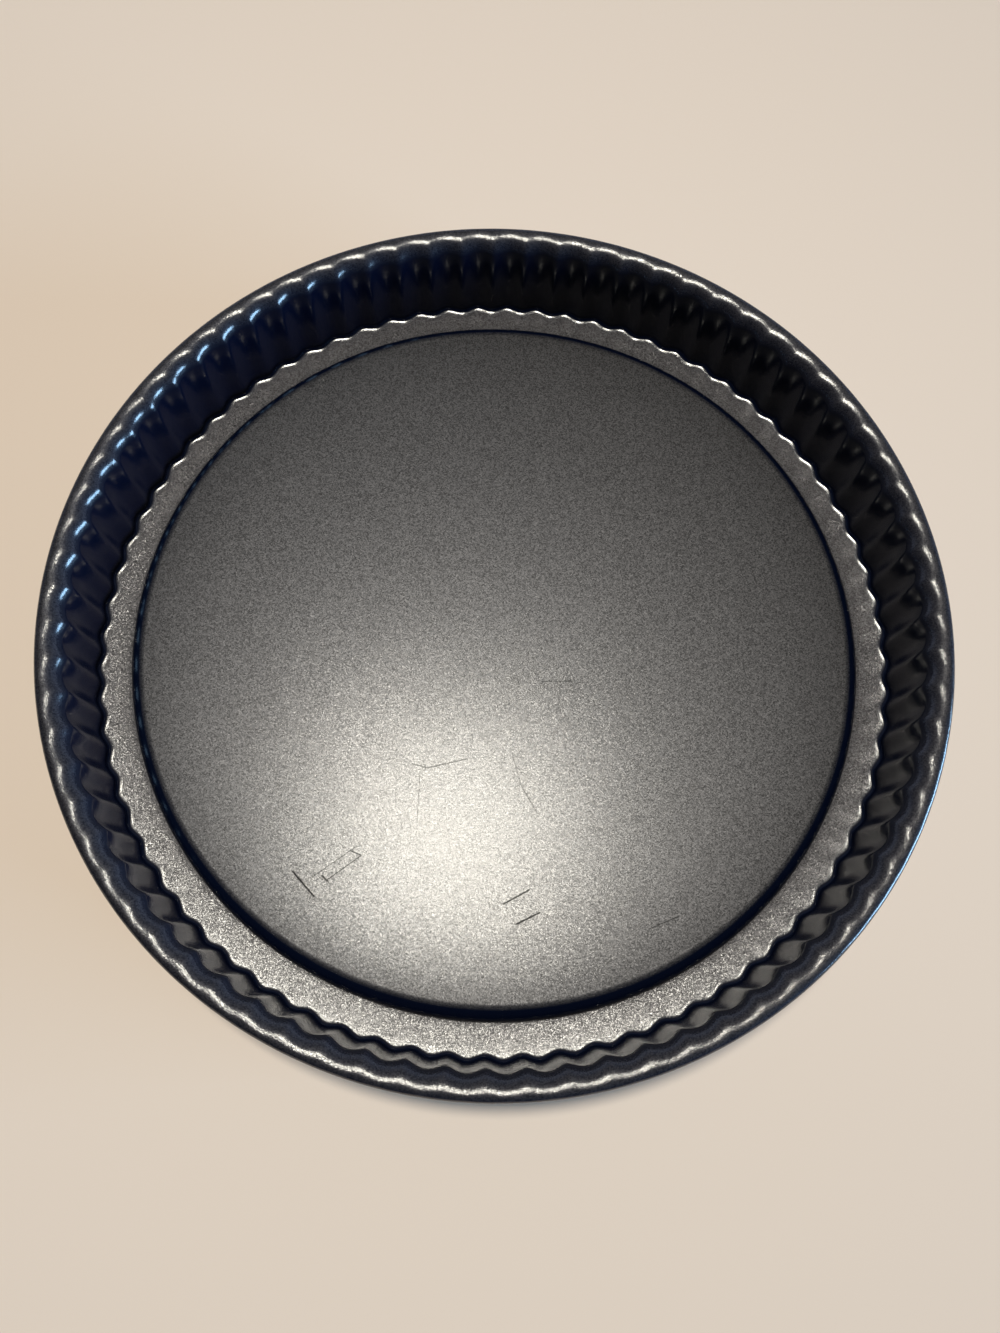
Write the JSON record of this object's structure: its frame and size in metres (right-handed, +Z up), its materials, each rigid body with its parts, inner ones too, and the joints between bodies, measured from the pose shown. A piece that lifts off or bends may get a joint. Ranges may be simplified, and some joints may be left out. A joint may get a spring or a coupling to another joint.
{
  "type": "fluted tart pan",
  "caption": "Round fluted tart pan in dark coated steel: a fluted ring with a rolled rim, and a raised base that lifts out of it.",
  "frame": {"origin": "on the table, under the middle of the pan", "axes": "+Z up, along the axis of the round pan; a ridge of the flutes points along +X"},
  "size_m": [0.296, 0.296, 0.0377],
  "materials": {
    "nonstick_coating": "satin",
    "wire_steel": "drawn"
  },
  "bodies": {
    "ring": {"fluted_ring": "nonstick_coating", "rim_wire": "wire_steel"},
    "base": {"lift_out_base": "nonstick_coating"}
  },
  "joints": [
    {"name": "base_lift", "type": "slide", "parent": "ring", "child": "base", "axis": [0, 0, 1], "range_m": [0, 0.045]}
  ]
}
